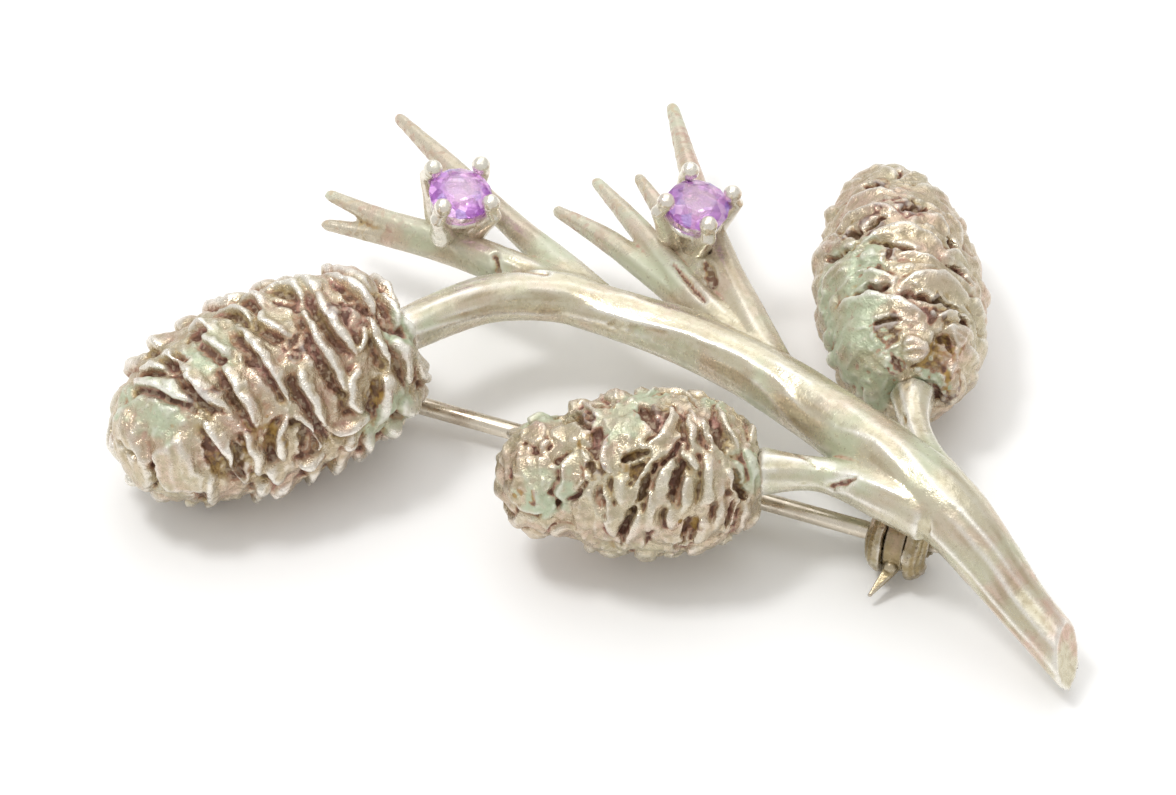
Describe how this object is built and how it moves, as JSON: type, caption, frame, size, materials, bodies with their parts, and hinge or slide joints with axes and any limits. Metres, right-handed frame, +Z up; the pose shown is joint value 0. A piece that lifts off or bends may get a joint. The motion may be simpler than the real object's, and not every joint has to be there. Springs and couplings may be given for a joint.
{
  "type": "pine cone brooch",
  "caption": "Silver spray brooch: a cut stem with hanging pine cones, needle tufts holding round lilac stones in claw cups, and a hinged pin with a roll-over catch.",
  "frame": {"origin": "centre of the footprint, on the surface that the brooch lies on", "axes": "+Z up from the back of the brooch to its face, +X from the big cone to the cut end of the stem, +Y towards the needle tips"},
  "size_m": [0.059, 0.0456, 0.0131],
  "materials": {
    "cast_silver": "cast silver, dark in the hollows, with pale green tarnish on the flats",
    "drawn_silver": "polished drawn wire",
    "catch_silver": "worn silver, dark in the hollows",
    "lilac_stone": "polished facets"
  },
  "bodies": {
    "spray": {"silver_spray": "cast_silver", "left_stone": "lilac_stone", "right_stone": "lilac_stone", "hinge_rivet": "drawn_silver"},
    "pin": {"pin_stem": "drawn_silver"},
    "rotor": {"catch_rotor": "catch_silver"}
  },
  "joints": [
    {"name": "pin_swing", "type": "hinge", "parent": "spray", "child": "pin", "pos_m": [-0.014, 0.00207, 0.00145], "axis": [0.3754, 0.9268, 0], "range_deg": [0, 90]},
    {"name": "catch_turn", "type": "hinge", "parent": "spray", "child": "rotor", "pos_m": [0.01911, -0.01134, 0.0024], "axis": [-0.9265, 0.3753, -0.0266], "range_deg": [0, 70]}
  ]
}
